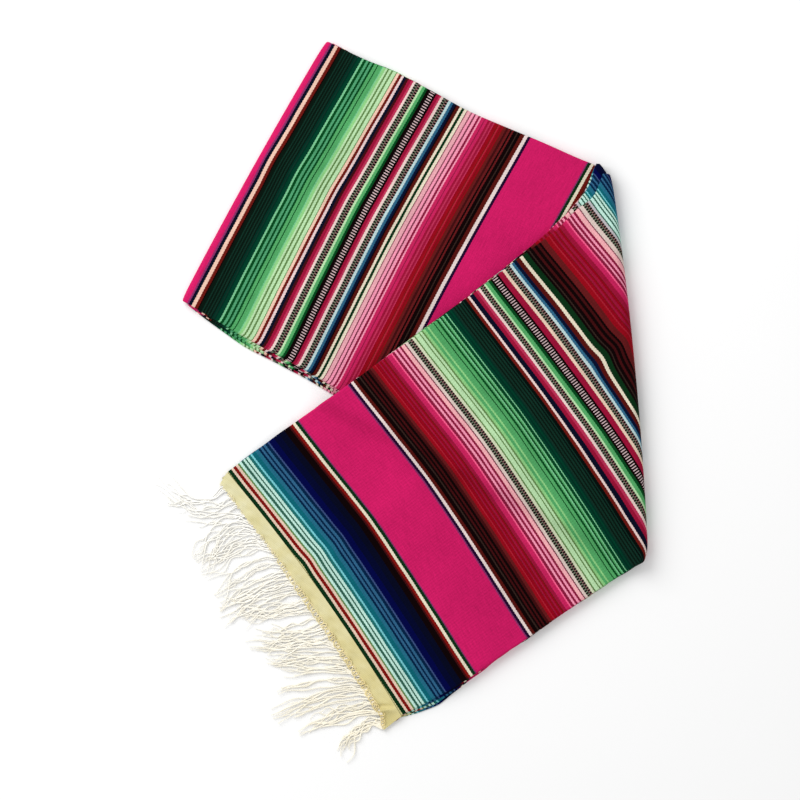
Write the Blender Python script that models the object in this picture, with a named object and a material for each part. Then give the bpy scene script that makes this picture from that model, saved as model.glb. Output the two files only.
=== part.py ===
# Mexican serape: one striped, loom-woven cloth folded into a strip of eight plies, turned back on itself by a
# diagonal fold, with its cream heading and fringe on top at the free end.
# Metres, +Z up. It rests on z = 0 with the origin under its middle.
import math
from collections import namedtuple

import bmesh
import bpy
import numpy as np
from mathutils import Vector
from mathutils.geometry import delaunay_2d_cdt

MM = 0.001

# Driving sizes
STACK = 12 * MM  # one arm of the strip: eight plies pressed flat
HEM_STACK = 6 * MM  # the same plies where they thin out at the free end
PLY = 1.3 * MM  # the cloth itself
SEAM = 0.3 * MM  # gap kept between neighbouring pieces
PAIR = 3 * MM  # two plies joined by a fold at the strip's edge
SKIN = PLY + SEAM  # depth at which the hidden plies start under the panel that shows
PILE = STACK + SEAM  # height at which the upper arm lies on the lower one
FOLD_ROUND = 11 * MM  # how far the diagonal fold rounds out past its line
END_ROUND = 7 * MM  # the same for the doubled end of the lower arm
CORNER_REACH = 0.07  # share of a fold's length over which its ends round off
SLOPE_START = 4 * MM  # the upper arm comes down past the lower arm's edge,
SLOPE_END = 30 * MM  # between these two distances from it
THIN_SHARE = 0.3  # share of the upper arm over which the pile thins towards the free end
EDGE = 4 * MM  # width of the rolled rim of a panel

# Sections across each arm, mm from the origin: where its near and far edges lie, and how far the lowest ply
# sticks out past the top one at each edge. The near edge is the one with the greater y.
Section = namedtuple("Section", "near_x near_y far_x far_y near_step far_step")
UPPER = (
    Section(-217, -91, 6, -404, 0, 4),
    Section(-156, -46, 46, -389, 0, 9),
    Section(-95, -3, 84, -361, 0, 4),
    Section(-34, 41, 123, -331, 0, 2),
    Section(25, 85, 161, -305, 1, 1),
    Section(86, 130, 199, -278, 1, 1),
    Section(147, 178, 238, -252, 2, 1),
    Section(206, 230, 271, -230, 6, 1),
    Section(256, 289, 304, -209, 10, 1),
)
LOWER = (
    Section(-87, 452, -272, 120, 1, 2),
    Section(-48, 432, -202, 70, 0, 10),
    Section(-3, 414, -128, 30, 1, 10),
    Section(43, 389, -55, -10, 0, 7),
    Section(87, 365, 19, -48, 0, 4),
    Section(133, 345, 92, -86, 0, 4),
    Section(179, 326, 166, -124, 0, 4),
    Section(224, 306, 239, -162, 0, 4),
    Section(246.5, 297, 295, -191, 0, 2),
)
UPPER_BOW = (8, 8)  # how far the lines across an arm bow along it, first and last section, mm
LOWER_BOW = (0, 8)

# Soft ridges and troughs that run along an arm: share of its width where they lie, height and half-width, mm
Ridge = namedtuple("Ridge", "share height half_width")
RIDGES = (Ridge(0.41, 1.4, 16), Ridge(0.2, -0.7, 30), Ridge(0.66, -0.6, 34))
RELIEF_START = 0.12  # share of an arm over which they rise from its first section
RELIEF_FADE = 0.15  # and over which they sink again, from these two shares of each arm on
UPPER_RELIEF_END = 0.85
LOWER_RELIEF_END = 0.42
LOWER_COLUMNS = (0, 0.1, 0.2, 0.3, 0.37, 0.41, 0.45, 0.54, 0.66, 0.78, 0.9, 1)
UPPER_COLUMNS = (4, 4, 4)  # columns over the lower arm, down its edge, and past it
COLUMN_ROOM = 6 * MM  # least width of such a group of columns

# Slices round the folds, as degrees up from level on their outer side
FLAT_SHARES = [k / 14 for k in range(15)]
END_ANGLES = (-80, -52, -26, 0, 26, 52, 74)
FOLD_ANGLES = (68, 46, 23, 0, -23, -46, -68)
PANEL_LAST_ANGLE = -80
LAYERS_LAST_ANGLE = -90
NOSE_ANGLES = (82, 60, 35, 0)  # slices of the hidden plies' nose in the doubled end, from its tip
NOSE_CORNER = 0.2  # share of the nose's reach that is left at its two ends
FOLD_CORNER = 0.7  # the same for a fold of the cloth that shows
LAYERS_START = 0.012  # share along the lower arm where its full stack of hidden plies starts
SHARP_ANGLE = 50  # degrees between two faces past which an edge is shaded sharp

# The heading, row by row from the near end: share of the free end, its width, how far its outer edge is
# shifted along the free end and how far it is lifted, mm
HeadingRow = namedtuple("HeadingRow", "share width shift lift")
HEADING = (
    HeadingRow(0.0, 17, 6, 0),
    HeadingRow(0.15, 20, 2, 0.6),
    HeadingRow(0.3, 20, 0, 0),
    HeadingRow(0.45, 21, 0, 0.8),
    HeadingRow(0.6, 21, 0, 0),
    HeadingRow(0.75, 21, 0, 0.8),
    HeadingRow(0.86, 21, 0, 1.5),
    HeadingRow(0.92, 22, 0, 3),
    HeadingRow(0.97, 20, -5, 4),
    HeadingRow(1.0, 30, 1, 1),
)
HEADING_COLUMNS = (0, 0.35, 0.7, 1)
UNDER_HEADING = (13 * MM, 9 * MM, 4 * MM)  # slices of the hidden plies that thin out under it
HEADING_WIDTH = 22 * MM
HEADING_DROP = 3.2 * MM  # the heading comes down this far to the fringe
BACKING_WIDTH = 3.5 * MM
BACKING_HEIGHT = 1.8 * MM
BACKING_LIFT = 0.5 * MM

# Locks of fringe: the stretch of the free end where they are rooted, the tip they run to, how far they bow
# sideways on the way, how wide they spread at the tip, and how many
Lock = namedtuple("Lock", "first last tip_x tip_y bow spread strands")
LOCKS = (
    Lock(0.01, 0.035, -310, -107, 17, 5, 3),
    Lock(0.06, 0.10, -296, -130, 10, 8, 4),
    Lock(0.125, 0.14, -275, -163, -1, 5, 2),
    Lock(0.155, 0.29, -256, -213, -13, 31, 13),
    Lock(0.30, 0.36, -234, -250, -8, 12, 6),
    Lock(0.372, 0.466, -230, -269, -4, 21, 10),
    Lock(0.478, 0.548, -206, -282, -3, 15, 8),
    Lock(0.56, 0.645, -186, -305, 3, 15, 8),
    Lock(0.66, 0.712, -195, -323, 0, 12, 6),
    Lock(0.725, 0.760, -168, -334, -2, 9, 5),
    Lock(0.780, 0.799, -150, -348, -5, 6, 3),
    Lock(0.808, 0.828, -155, -371, -4, 5, 3),
    Lock(0.84, 0.885, -164, -398, -7, 10, 6),
    Lock(0.895, 0.906, -114, -403, 0, 4, 2),
    Lock(0.928, 0.947, -128, -422, -6, 9, 4),
    Lock(0.956, 0.972, -77, -439, -4, 5, 3),
    Lock(0.980, 0.995, -70, -451, -10, 5, 2),
)
STRAND_RADIUS = 0.7 * MM
STRAND_RINGS = 5
STRAND_ROOT = 2 * MM  # width of a strand where it leaves the backing
STRAND_START = 1.5 * MM  # length over which it leaves the backing straight
STRAND_HEIGHTS = (1.0 * MM, 2.8 * MM, 4.6 * MM)  # three levels, so that strands pass without touching
STRAND_SINK = 0.15  # share by which the upper levels come down again towards the tips
STRAND_TIP = 0.5  # thickness of a strand's tip as a share of its own
STRAND_CURL = 0.8  # below 1, a strand bows more near its root than near its tip
TIP_SCATTER = 2.5 * MM

# Colours: base colour and roughness
PINK = ((0.68, 0.02, 0.14, 1), 0.85)
NAVY = ((0.01, 0.03, 0.16, 1), 0.85)
GREEN = ((0.02, 0.22, 0.09, 1), 0.85)
CREAM = ((0.80, 0.70, 0.42, 1), 0.85)
IVORY = ((0.88, 0.86, 0.76, 1), 0.9)


def clear_scene():
    for old in list(bpy.data.objects):
        bpy.data.objects.remove(old)


def new_collection(name):
    made = bpy.data.collections.new(name)
    bpy.context.scene.collection.children.link(made)
    return made


def cloth_material(name, finish):
    made = bpy.data.materials.new(name)
    made.use_nodes = True
    shader = made.node_tree.nodes["Principled BSDF"]
    shader.inputs["Base Color"].default_value = finish[0]
    shader.inputs["Roughness"].default_value = finish[1]
    shader.inputs["Metallic"].default_value = 0
    return made


def through(rows, share):
    """The smooth curve through evenly spaced rows, read at a share from 0 to 1 of its length."""
    place = share * (len(rows) - 1)
    first = min(max(int(place), 0), len(rows) - 2)
    u = place - first
    before, start, end, after = (rows[min(max(first + k, 0), len(rows) - 1)] for k in (-1, 0, 1, 2))
    bend = 2 * before - 5 * start + 4 * end - after
    twist = 3 * start - before - 3 * end + after
    return 0.5 * (2 * start + (end - before) * u + bend * u**2 + twist * u**3)


def smooth(value, low, high):
    u = min(max((value - low) / (high - low), 0), 1)
    return u * u * (3 - 2 * u)


def unit(vector):
    return vector / np.linalg.norm(vector)


class Arm:
    """A stretch of the folded strip, laid out by its sections. Shares along and across it run from 0 to 1."""

    def __init__(self, sections, bow, relief_end):
        self.relief_end = relief_end
        self.rows = [np.array(row) * MM for row in sections]
        self.bow = [b * MM for b in bow]
        self.axis = unit(self.middle(1) - self.middle(0))

    def middle(self, along):
        row = through(self.rows, along)
        return (row[0:2] + row[2:4]) / 2

    def plan(self, along, across):
        row = through(self.rows, along)
        bow = self.bow[0] + (self.bow[1] - self.bow[0]) * along
        return row[0:2] + (row[2:4] - row[0:2]) * across + self.axis * bow * 4 * across * (1 - across)

    def steps(self, along):
        row = through(self.rows, along)
        return max(row[4], 0), max(row[5], 0)

    def width(self, along):
        row = through(self.rows, along)
        return np.linalg.norm(row[2:4] - row[0:2])


upper = Arm(UPPER, UPPER_BOW, UPPER_RELIEF_END)
lower = Arm(LOWER, LOWER_BOW, LOWER_RELIEF_END)

# The straight edge of the lower arm under the upper one
EDGE_FROM = np.array([LOWER[3].far_x, LOWER[3].far_y]) * MM
EDGE_TO = np.array([LOWER[7].far_x, LOWER[7].far_y]) * MM
EDGE_ALONG = unit(EDGE_TO - EDGE_FROM)
EDGE_OUT = np.array([EDGE_ALONG[1], -EDGE_ALONG[0]])


def relief(arm, along, across):
    """Height that the ridges and troughs add to an arm's face. They fade where it ends or is covered."""
    end = arm.relief_end
    fade = smooth(along, 0, RELIEF_START) * (1 - smooth(along, end, end + RELIEF_FADE))
    width = arm.width(along)
    total = 0
    for ridge in RIDGES:
        distance = (across - ridge.share) * width / (ridge.half_width * MM)
        total += ridge.height * MM * math.exp(-(distance**2))
    return total * fade


def floor_under(point):
    """Height of what the upper arm lies on: the lower arm, or the ground past its edge."""
    past = float(np.dot(point - EDGE_FROM, EDGE_OUT))
    return PILE * (1 - smooth(past, SLOPE_START, SLOPE_END))


def pile_height(along):
    return HEM_STACK + (STACK - HEM_STACK) * smooth(along, 0, THIN_SHARE)


def raised(point, height):
    return np.array([point[0], point[1], height])


def corner_round(across, least=FOLD_CORNER):
    """1 along a fold, and less at its two ends, where the fold rounds off."""
    inside = min(max(min(across, 1 - across), 0) / CORNER_REACH, 1)
    return least + (1 - least) * math.sqrt(1 - (1 - inside) ** 2)


# A station is a slice across an arm: the face of the pile, the heart that its plies lie towards, the slice's
# width, the steps of its edges and the columns between its rims, as widths from the near edge. In an inner
# one, the face is already the face of the hidden plies.
Station = namedtuple("Station", "face heart width steps columns inner")


def lower_station(face, heart, along, inner=False):
    width, steps = lower.width(along), lower.steps(along)
    span = width - steps[0] - steps[1] - 2 * EDGE
    columns = [steps[0] + EDGE + span * share for share in LOWER_COLUMNS]
    return Station(face, heart, width, steps, columns, inner)


def upper_station(face, heart, along, inner=False):
    """Its columns gather where the upper arm comes down past the lower arm's edge."""
    width, steps = upper.width(along), upper.steps(along)
    first, last = steps[0] + EDGE, width - steps[1] - EDGE
    start, end = (np.dot(upper.plan(along, side) - EDGE_FROM, EDGE_OUT) for side in (0, 1))
    slope = [(past - start) / (end - start) * width for past in (SLOPE_START, SLOPE_END)]
    top = min(max(slope[0], first + COLUMN_ROOM), last - 3 * COLUMN_ROOM)
    bottom = min(max(slope[1], top + COLUMN_ROOM), last - COLUMN_ROOM)
    limits = (first, top, bottom, last)
    columns = [first]
    for zone, count in enumerate(UPPER_COLUMNS):
        step = (limits[zone + 1] - limits[zone]) / count
        columns += [limits[zone] + step * (k + 1) for k in range(count)]
    return Station(face, heart, width, steps, columns, inner)


def lower_flat(along):
    def face(across):
        return raised(lower.plan(along, across), STACK + relief(lower, along, across))

    def heart(across):
        return raised(lower.plan(along, across), 0)

    return lower_station(face, heart, along)


def lower_end_panel(angle):
    """The outermost ply of the lower arm, round its doubled end."""
    turn = math.radians(angle)

    def face(across):
        out = -lower.axis * END_ROUND * corner_round(across) * math.cos(turn)
        return raised(lower.plan(0, across) + out, STACK / 2 * (1 + math.sin(turn)))

    def heart(across):
        return raised(lower.plan(0, across), STACK / 2)

    return lower_station(face, heart, 0)


def lower_end_layers(angle):
    """The hidden plies just inside it, as a rounded nose."""
    turn = math.radians(angle)
    half = STACK / 2 - SKIN - 2 * SEAM
    reach = END_ROUND - SKIN - 4 * SEAM

    def nose(across, side):
        out = -lower.axis * reach * corner_round(across, NOSE_CORNER) * math.sin(turn)
        return raised(lower.plan(0, across) + out, STACK / 2 + side * half * math.cos(turn))

    return lower_station(lambda a: nose(a, 1), lambda a: nose(a, -1), 0, inner=True)


def upper_flat(along):
    def heart(across):
        point = upper.plan(along, across)
        return raised(point, floor_under(point))

    def face(across):
        lift = pile_height(along) + relief(upper, along, across)
        return heart(across) + np.array([0, 0, lift])

    return upper_station(face, heart, along)


def upper_fold(angle):
    """The pile turned over the diagonal fold, its plies nested round one another."""
    turn = math.radians(angle)
    out = np.array([1.0, 0.0])

    def ring(across, radius, rise):
        point = upper.plan(1, across)
        middle = (floor_under(point) + STACK) / 2
        return raised(point + out * radius * math.cos(turn), middle + rise * math.sin(turn))

    def face(across):
        middle = (floor_under(upper.plan(1, across)) + STACK) / 2
        return ring(across, FOLD_ROUND * corner_round(across), middle)

    def heart(across):
        return ring(across, PLY / 2, PLY / 2)

    return upper_station(face, heart, 1)


def upper_under_heading(distance):
    """The hidden plies' own ends, thinning out under the heading."""

    def heart(across):
        return raised(upper.plan(0, across) - upper.axis * distance, 0)

    def face(across):
        return heart(across) + np.array([0, 0, heading_height(distance) - SKIN - SEAM * 2])

    return upper_station(face, heart, 0, inner=True)


def heading_height(distance):
    """Height of the heading's face at a distance from the striped cloth."""
    return HEM_STACK - HEADING_DROP * smooth(distance, 0, HEADING_WIDTH)


def place(station, width_at, depth):
    """The point of a slice at a width from its near edge and a depth under the pile's face."""
    face = station.face(width_at / station.width)
    heart = station.heart(width_at / station.width)
    reach = np.linalg.norm(heart - face)
    if station.inner:
        depth = (depth - SKIN) / (STACK - SKIN) * reach
    elif depth > PAIR:
        depth = PAIR + (depth - PAIR) / (STACK - PAIR) * (reach - PAIR)
    return face + (heart - face) / reach * depth


# Rim of a panel, from the turned-down edge up to its face: how far in from the edge and how deep, mm
RIM_OUTSIDE = ((0.3, 2.6), (0.0, 1.7), (0.5, 0.7), (1.8, 0.15))
RIM_INSIDE = ((1.6, 2.6), (1.6, 1.7), (3.0, 1.3))
# Edge of one folded pair of plies in the pile: how far in from the edge, mm, and share of its thickness
PAIR_EDGE = ((1.2, 0.04), (0.25, 0.25), (0.0, 0.55), (0.35, 0.85))
LAYERS_INSET = 2 * MM  # the hidden plies' topmost pair ends this far in from the panel's edge
FLAT_STRETCH = 4  # depths count for this much more than widths where an end is closed

# One closed slice: its points, the same points laid flat as (width, depth), and how many make its front
Ring = namedtuple("Ring", "points flat front")


def ring_of(station, front, back):
    """A slice from its front, near to far, and its back, near to far too, each given as (width, depth)."""
    flat = front + back[::-1]
    return Ring([place(station, *point) for point in flat], flat, len(front))


def panel_ring(station):
    near, far = station.steps[0], station.width - station.steps[1]
    front = [(near + inset * MM, depth * MM) for inset, depth in RIM_OUTSIDE]
    front += [(column, 0) for column in station.columns]
    front += [(far - inset * MM, depth * MM) for inset, depth in reversed(RIM_OUTSIDE)]
    back = [(near + inset * MM, depth * MM) for inset, depth in RIM_INSIDE]
    back += [(column, PLY) for column in station.columns]
    back += [(far - inset * MM, depth * MM) for inset, depth in reversed(RIM_INSIDE)]
    return ring_of(station, front, back)


def layers_ring(station):
    near, far = station.steps[0], station.width - station.steps[1]
    narrower = LAYERS_INSET if station.inner else 0
    front = [(near + LAYERS_INSET, PAIR), (near + LAYERS_INSET, SKIN + SEAM)]
    front += [(column, SKIN) for column in station.columns]
    front += [(far - LAYERS_INSET, SKIN + SEAM), (far - LAYERS_INSET, PAIR)]
    pairs = round(STACK / PAIR)
    near_side, far_side = [], []
    for pair in range(1, pairs):
        out = pair / (pairs - 1)
        for inset, share in PAIR_EDGE:
            depth = PAIR * (pair + share)
            near_side.append((near - station.steps[0] * out + inset * MM + narrower, depth))
            far_side.append((far + station.steps[1] * out - inset * MM - narrower, depth))
    back = near_side + [(column, STACK) for column in station.columns] + far_side[::-1]
    return ring_of(station, front, back)


def closed_object(name, body, material, collection):
    """An object of a closed body, its faces turned outwards."""
    bmesh.ops.recalc_face_normals(body, faces=body.faces)
    if body.calc_volume(signed=True) < 0:
        bmesh.ops.reverse_faces(body, faces=body.faces)
    mesh = bpy.data.meshes.new(name)
    body.to_mesh(mesh)
    body.free()
    mesh.shade_smooth()
    mesh.set_sharp_from_angle(angle=math.radians(SHARP_ANGLE))
    mesh.materials.append(material)
    made = bpy.data.objects.new(name, mesh)
    collection.objects.link(made)
    return made


def close_end(body, verts, flat):
    """Closes an open end with small triangles, found on the slice laid flat."""
    laid = [Vector((width_at, depth * FLAT_STRETCH)) for width_at, depth in flat]
    inside_only, too_near = 1, 1e-9
    made = delaunay_2d_cdt(laid, [], [list(range(len(laid)))], inside_only, too_near)
    faces, came_from = made[2], made[3]
    for face in faces:
        body.faces.new([verts[came_from[corner][0]] for corner in face])


def loft(name, rings, material, collection):
    """A closed body through rings of equal length."""
    body = bmesh.new()
    grid = [[body.verts.new(tuple(point)) for point in ring.points] for ring in rings]
    count = len(grid[0])
    for first, second in zip(grid, grid[1:]):
        for k in range(count):
            after = (k + 1) % count
            # The same diagonal in plan on the front and the back keeps a thin wall even.
            corners = [first[k], first[after], second[after], second[k]]
            if k >= rings[0].front - 1:
                corners = corners[1:] + corners[:1]
            body.faces.new(corners[:3])
            body.faces.new((corners[0], corners[2], corners[3]))
    close_end(body, grid[0], rings[0].flat)
    close_end(body, grid[-1], rings[-1].flat)
    return closed_object(name, body, material, collection)


def make_lower_panel(material, collection):
    stations = [lower_end_panel(angle) for angle in END_ANGLES]
    stations += [lower_flat(share) for share in FLAT_SHARES]
    return loft("lower_panel", [panel_ring(s) for s in stations], material, collection)


def make_lower_layers(material, collection):
    stations = [lower_end_layers(angle) for angle in NOSE_ANGLES]
    stations += [lower_flat(share) for share in [LAYERS_START] + FLAT_SHARES[1:]]
    return loft("lower_layers", [layers_ring(s) for s in stations], material, collection)


def make_upper_panel(material, collection):
    stations = [upper_flat(share) for share in FLAT_SHARES]
    stations += [upper_fold(angle) for angle in FOLD_ANGLES + (PANEL_LAST_ANGLE,)]
    return loft("upper_panel", [panel_ring(s) for s in stations], material, collection)


def make_upper_layers(material, collection):
    stations = [upper_under_heading(distance) for distance in UNDER_HEADING]
    stations += [upper_flat(share) for share in FLAT_SHARES]
    stations += [upper_fold(angle) for angle in FOLD_ANGLES + (LAYERS_LAST_ANGLE,)]
    return loft("upper_layers", [layers_ring(s) for s in stations], material, collection)


def heading_edges():
    """(inner, outer, lift) of each row."""
    rows = []
    along = unit(upper.plan(0, 1) - upper.plan(0, 0))
    for row in HEADING:
        across = row.share * (1 - upper.steps(0)[1] / upper.width(0))
        inner = upper.plan(0, across) - upper.axis * SEAM * 2
        outer = inner - upper.axis * row.width * MM + along * row.shift * MM
        rows.append((inner, outer, row.lift * MM))
    return rows


def make_heading(material, collection):
    rings = []
    for inner, outer, lift in heading_edges():
        front, flat = [], []
        for share in HEADING_COLUMNS:
            reach = share * np.linalg.norm(outer - inner)
            height = heading_height(reach) + lift * share**2
            front.append(raised(inner + (outer - inner) * share, height))
            flat.append((reach, 0))
        back = [point - np.array([0, 0, PLY]) for point in reversed(front)]
        flat += [(reach, PLY) for reach, depth in reversed(flat)]
        rings.append(Ring(front + back, flat, len(front)))
    return loft("heading", rings, material, collection)


def hem_line():
    """The line just outside the heading where the fringe is rooted, and each point's share of its length."""
    points = [edges[1] - upper.axis * SEAM * 2 for edges in heading_edges()]
    lengths = [0]
    for first, second in zip(points, points[1:]):
        lengths.append(lengths[-1] + np.linalg.norm(second - first))
    return points, [length / lengths[-1] for length in lengths], lengths[-1]


HEM_POINTS, HEM_SHARES, HEM_LENGTH = hem_line()


def hem_point(share):
    return np.array([np.interp(share, HEM_SHARES, [point[k] for point in HEM_POINTS]) for k in (0, 1)])


def strand_roots():
    """(lock, place in it, share of the hem) of every strand, from the near end on."""
    roots = []
    for lock in LOCKS:
        for index in range(lock.strands):
            place_in_lock = index / max(lock.strands - 1, 1)
            roots.append((lock, index, lock.first + (lock.last - lock.first) * place_in_lock))
    return roots


def strand_path(lock, index, root_share):
    """Points of one strand from the backing, first to its own level and then out to its tip."""
    middle = hem_point((lock.first + lock.last) / 2)
    run = np.array([lock.tip_x, lock.tip_y]) * MM - middle
    side = unit(np.array([-run[1], run[0]]))
    spread = (index / max(lock.strands - 1, 1) - 0.5) * lock.spread * MM
    root = hem_point(root_share) - upper.axis * (BACKING_WIDTH + STRAND_START)
    tip = middle + run + side * spread + unit(run) * (index % 3 - 1) * TIP_SCATTER
    level = STRAND_HEIGHTS[index % 3]
    start = BACKING_LIFT + BACKING_HEIGHT / 2
    points = []
    for k in range(STRAND_RINGS + 1):
        u = k / STRAND_RINGS
        bow = side * lock.bow * MM * math.sin(math.pi * u**STRAND_CURL)
        sink = (level - STRAND_HEIGHTS[0]) * STRAND_SINK * smooth(u, 0.5, 1)
        height = start + (level - start) * smooth(u, 0, 1 / STRAND_RINGS) - sink
        points.append(raised(root + (tip - root) * u + bow, height))
    return points


def strand_rings(points):
    """Four-sided rings round the path. Each starts at the corner that is low and towards the near end."""
    rings = []
    for k, point in enumerate(points):
        along = unit(points[min(k + 1, len(points) - 1)] - points[max(k - 1, 0)])
        aside = unit(np.cross((0, 0, 1), along))
        radius = STRAND_RADIUS * (1 if k < len(points) - 1 else STRAND_TIP)
        corners = ((-1, -1), (-1, 1), (1, 1), (1, -1))
        up = np.array([0, 0, 1])
        rings.append([point + radius * (aside * a + up * b) for a, b in corners])
    return rings


def make_fringe(material, collection):
    """A narrow backing strip, each strand drawn out of its own face on the outer side."""
    body = bmesh.new()
    half = STRAND_ROOT / 2 / HEM_LENGTH
    columns = []
    for lock, index, share in strand_roots():
        columns += [share - half, share + half]

    def backing_column(share):
        inner = hem_point(share)
        outer = inner - upper.axis * BACKING_WIDTH
        low, high = BACKING_LIFT, BACKING_LIFT + BACKING_HEIGHT
        corners = ((inner, low), (inner, high), (outer, high), (outer, low))
        return [body.verts.new(tuple(raised(point, height))) for point, height in corners]

    rings = [backing_column(share) for share in [0] + columns + [1]]
    for number, (first, second) in enumerate(zip(rings, rings[1:])):
        for k in range(4):
            if not (k == 2 and number % 2 == 1):
                after = (k + 1) % 4
                body.faces.new((first[k], first[after], second[after], second[k]))
    body.faces.new(rings[0])
    body.faces.new(rings[-1])
    for number, root in enumerate(strand_roots()):
        near, far = rings[2 * number + 1], rings[2 * number + 2]
        last = [near[3], near[2], far[2], far[3]]
        for ring in strand_rings(strand_path(*root)):
            fresh = [body.verts.new(tuple(point)) for point in ring]
            for k in range(4):
                after = (k + 1) % 4
                body.faces.new((last[k], last[after], fresh[after], fresh[k]))
            last = fresh
        body.faces.new(last)
    return closed_object("fringe", body, material, collection)


def main():
    clear_scene()
    serape = new_collection("mexican_serape")
    striped = cloth_material("striped_cloth_pink", PINK)
    make_lower_panel(striped, serape)
    make_upper_panel(striped, serape)
    make_lower_layers(cloth_material("striped_cloth_green", GREEN), serape)
    make_upper_layers(cloth_material("striped_cloth_navy", NAVY), serape)
    make_heading(cloth_material("cream_heading", CREAM), serape)
    make_fringe(cloth_material("ivory_fringe", IVORY), serape)


main()
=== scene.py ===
import math
from collections import namedtuple

import bmesh
import bpy
import numpy as np
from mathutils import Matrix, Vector
from mathutils.geometry import delaunay_2d_cdt


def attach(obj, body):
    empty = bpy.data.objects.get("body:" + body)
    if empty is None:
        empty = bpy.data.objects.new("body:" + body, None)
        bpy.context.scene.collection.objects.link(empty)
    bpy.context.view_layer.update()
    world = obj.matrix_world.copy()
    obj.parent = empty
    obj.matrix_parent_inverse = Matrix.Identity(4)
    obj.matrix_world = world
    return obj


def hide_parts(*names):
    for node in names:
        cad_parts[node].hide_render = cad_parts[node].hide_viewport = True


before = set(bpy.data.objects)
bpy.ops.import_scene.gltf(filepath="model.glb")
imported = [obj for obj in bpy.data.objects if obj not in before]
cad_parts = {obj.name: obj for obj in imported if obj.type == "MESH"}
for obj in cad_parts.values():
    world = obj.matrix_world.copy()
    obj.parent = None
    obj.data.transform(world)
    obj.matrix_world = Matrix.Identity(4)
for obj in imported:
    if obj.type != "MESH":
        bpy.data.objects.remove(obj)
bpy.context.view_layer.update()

# Striped cloth of the lower arm
# A weft-faced wool cloth from one loom, folded lengthwise into a strip of eight plies and doubled end to end.
# This is its outermost ply at the upper left: it rounds the doubled end and then shows its face.
MM = 0.001
STACK = 12 * MM  # eight plies pressed flat
PLY = 1.3 * MM
SEAM = 0.3 * MM
PAIR = 3 * MM  # two plies joined by a fold at the strip's edge
SKIN = PLY + SEAM
END_ROUND = 7 * MM  # how far the doubled end rounds out
CORNER_REACH = 0.07  # the share of a fold's width over which its round thins out at each corner
FOLD_CORNER = 0.7  # and the share of the round that is left there
EDGE = 4 * MM  # width of the rolled rim
COLUMNS = 84  # across a ply's face
ROWS = 120  # along an arm

# Sections along the arm, in mm: the near edge's x and y, the far edge's x and y, and the step of each edge
LOWER = (
    (-87, 452, -272, 120, 1, 2),
    (-48, 432, -202, 70, 0, 10),
    (-3, 414, -128, 30, 1, 10),
    (43, 389, -55, -10, 0, 7),
    (87, 365, 19, -48, 0, 4),
    (133, 345, 92, -86, 0, 4),
    (179, 326, 166, -124, 0, 4),
    (224, 306, 239, -162, 0, 4),
    (246.5, 297, 295, -191, 0, 2),
)

# Soft ridges pressed into the strip by its folding: share of its width, height and half-width in mm
Ridge = namedtuple("Ridge", "share height half_width")
RIDGES = (Ridge(0.41, 1.4, 16), Ridge(0.2, -0.7, 30), Ridge(0.66, -0.6, 34))
RELIEF_START = 0.12  # shares of an arm over which the ridges rise and fade
RELIEF_FADE = 0.15

# Creases, in mm: x and y of each end, height, half-width
LOWER_CREASES = (
    (-250, 160, -215, 110, -0.9, 7),
    (-196, 96, -150, 70, 0.8, 6),
    (-118, 60, -84, 34, 0.9, 6),
    (-60, 20, -36, 6, -0.8, 6),
    (-150, 300, 20, 216, 0.35, 12),
    (-60, 400, 40, 350, -0.4, 12),
    (60, 330, 170, 290, 0.4, 11),
    (-230, 230, -160, 190, 0.4, 10),
    (150, 250, 210, 232, -0.4, 9),
    (-180, 330, -120, 420, 0.45, 9),
)


def through(rows, share):
    """The smooth curve through evenly spaced rows, read at a share from 0 to 1 of its length."""
    place = share * (len(rows) - 1)
    first = min(max(int(place), 0), len(rows) - 2)
    u = place - first
    before, start, end, after = (rows[min(max(first + k, 0), len(rows) - 1)] for k in (-1, 0, 1, 2))
    bend = 2 * before - 5 * start + 4 * end - after
    twist = 3 * start - before - 3 * end + after
    return 0.5 * (2 * start + (end - before) * u + bend * u**2 + twist * u**3)


def smooth(value, low, high):
    u = min(max((value - low) / (high - low), 0), 1)
    return u * u * (3 - 2 * u)


def swell(value, centre, reach):
    """A soft hump, 1 at its centre and next to nothing at twice its reach."""
    return math.exp(-(((value - centre) / reach) ** 2))


def unit(vector):
    return vector / np.linalg.norm(vector)


def raised(point, height):
    return np.array([point[0], point[1], height])


class Arm:
    """A stretch of the folded strip, laid out by its sections. Shares along and across it run from 0 to 1."""

    def __init__(self, sections, bow, relief_end, creases):
        self.rows = [np.array(row) * MM for row in sections]
        self.bow = [b * MM for b in bow]
        self.relief_end = relief_end
        self.creases = np.array(creases) * MM
        self.axis = unit(self.middle(1) - self.middle(0))

    def middle(self, along):
        row = through(self.rows, along)
        return (row[0:2] + row[2:4]) / 2

    def plan(self, along, across):
        row = through(self.rows, along)
        bow = self.bow[0] + (self.bow[1] - self.bow[0]) * along
        return row[0:2] + (row[2:4] - row[0:2]) * across + self.axis * bow * 4 * across * (1 - across)

    def steps(self, along):
        row = through(self.rows, along)
        return max(row[4], 0), max(row[5], 0)

    def width(self, along):
        row = through(self.rows, along)
        return np.linalg.norm(row[2:4] - row[0:2])

    def relief(self, along, across):
        """Height that ridges and creases add to the face. Ridges fade where the arm ends or is covered."""
        end = self.relief_end
        fade = smooth(along, 0, RELIEF_START) * (1 - smooth(along, end, end + RELIEF_FADE))
        width = self.width(along)
        pressed = 0
        for ridge in RIDGES:
            pressed += ridge.height * MM * swell(across, ridge.share, ridge.half_width * MM / width)
        start, run = self.creases[:, 0:2], self.creases[:, 2:4] - self.creases[:, 0:2]
        offset = self.plan(along, across) - start
        reached = np.clip((offset * run).sum(1) / (run * run).sum(1), 0, 1)
        away = np.linalg.norm(offset - run * reached[:, None], axis=1) / self.creases[:, 5]
        return pressed * fade + float((self.creases[:, 4] * np.exp(-(away**2))).sum())


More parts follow.
